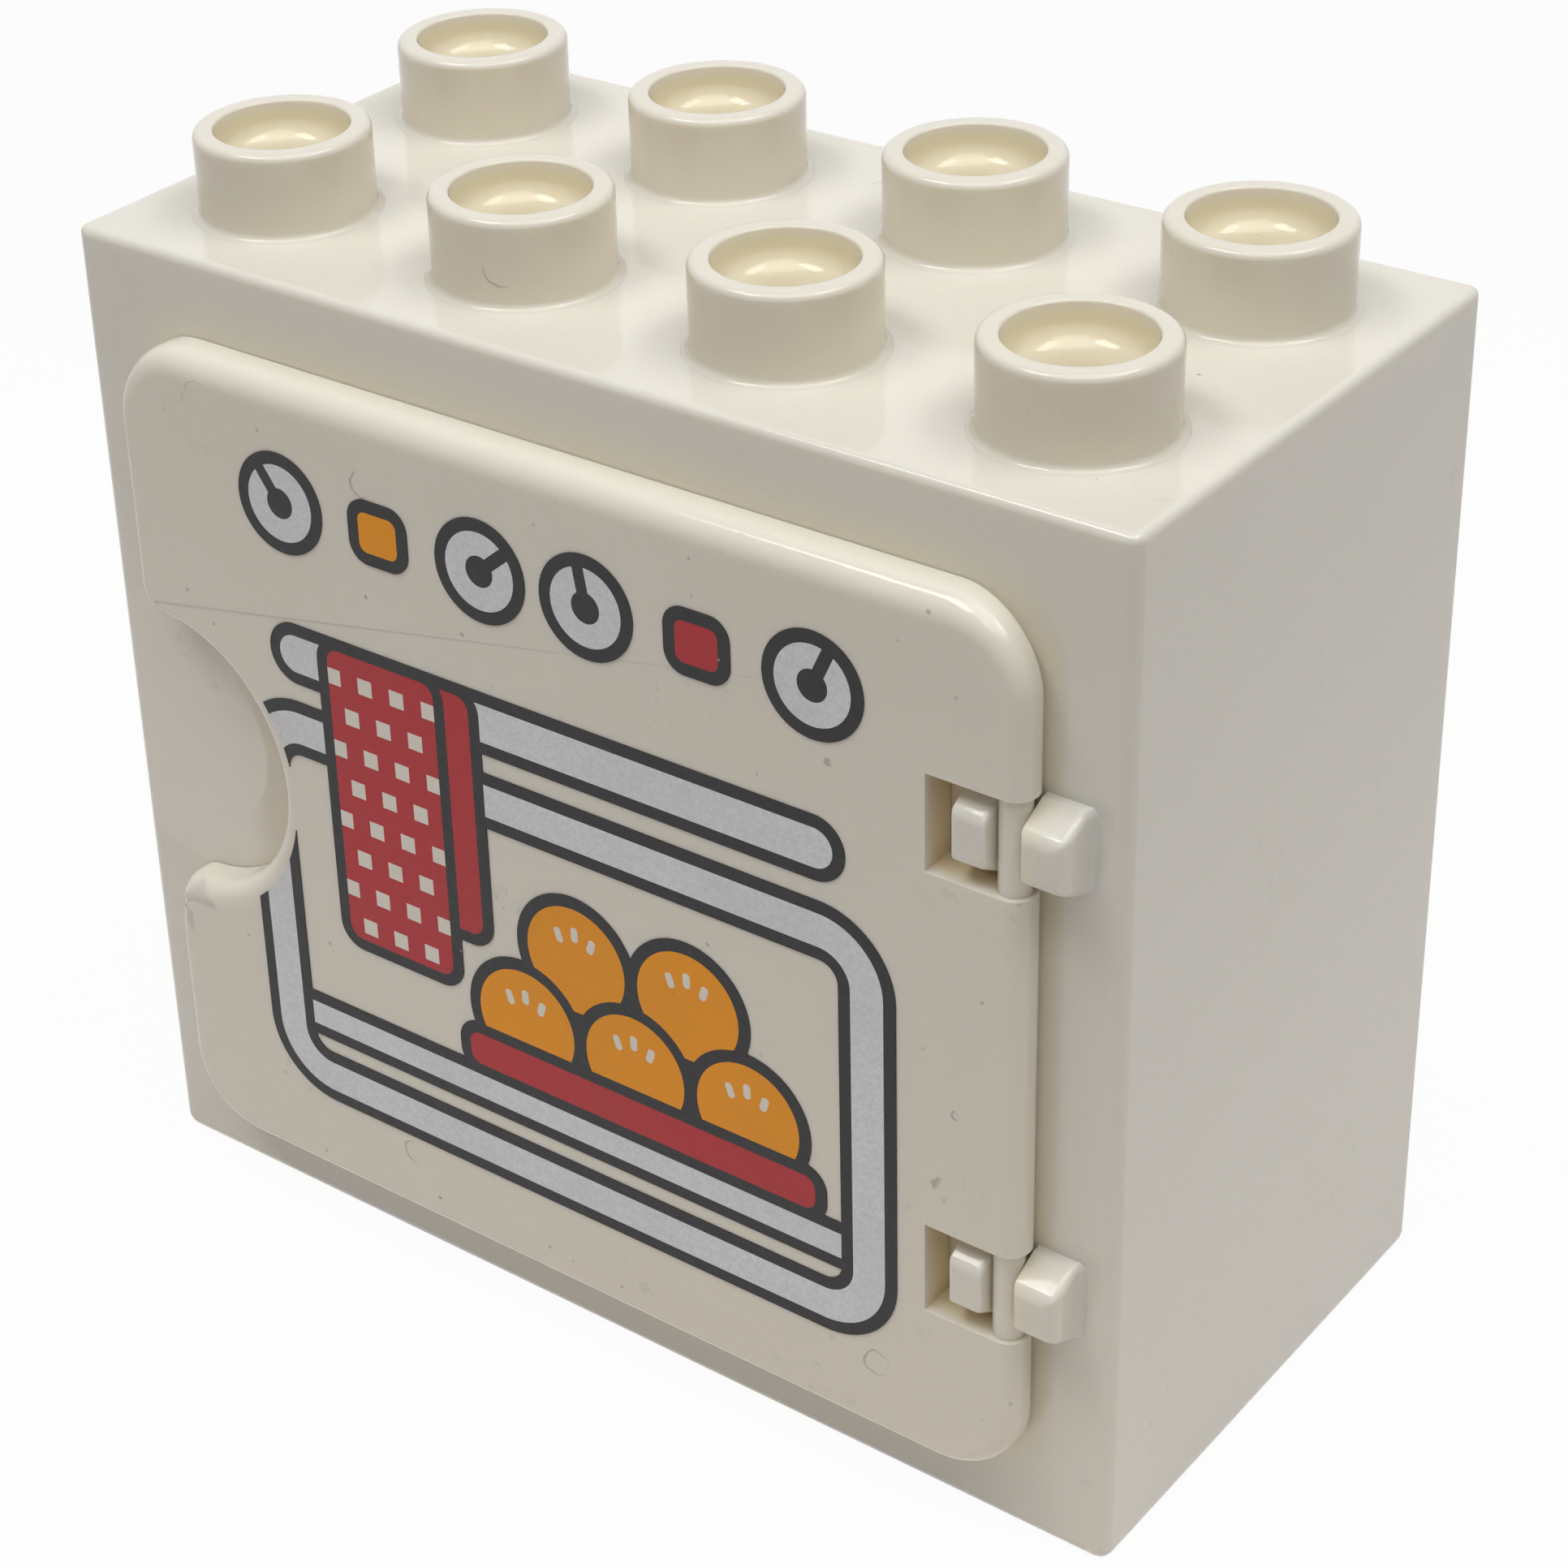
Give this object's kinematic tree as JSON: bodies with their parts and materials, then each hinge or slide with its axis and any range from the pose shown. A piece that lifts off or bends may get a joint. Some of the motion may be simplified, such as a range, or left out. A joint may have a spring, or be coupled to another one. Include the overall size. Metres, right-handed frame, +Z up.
{
  "type": "toy oven",
  "caption": "Preschool brick-system toy oven: studded hollow cabinet with an open cooking cavity and a clip-on door that swings on its own moulded rod.",
  "frame": {"origin": "centre of the cabinet's underside, on the axis of the middle clutch tube", "axes": "+Z up through the studs, -Y out of the door side, +X towards the hinge"},
  "size_m": [0.0638, 0.0342, 0.0622],
  "materials": {
    "cabinet": "smooth moulded ivory plastic, lightly worn",
    "door": "smooth moulded cream plastic with fine scratches",
    "print_outlines": "charcoal pad-print ink",
    "print_silver": "silver pad-print ink",
    "print_amber": "amber pad-print ink",
    "print_red": "red pad-print ink",
    "print_white": "off-white pad-print ink"
  },
  "bodies": {
    "cabinet": {"cabinet": "cabinet"},
    "door": {"door": "door", "print_outlines": "print_outlines", "print_silver": "print_silver", "print_amber": "print_amber", "print_red": "print_red", "print_white": "print_white"}
  },
  "joints": [
    {"name": "door_hinge", "type": "hinge", "parent": "cabinet", "child": "door", "pos_m": [0.0268, -0.01705, 0.0288], "axis": [0, 0, 1], "range_deg": [0, 180]}
  ]
}
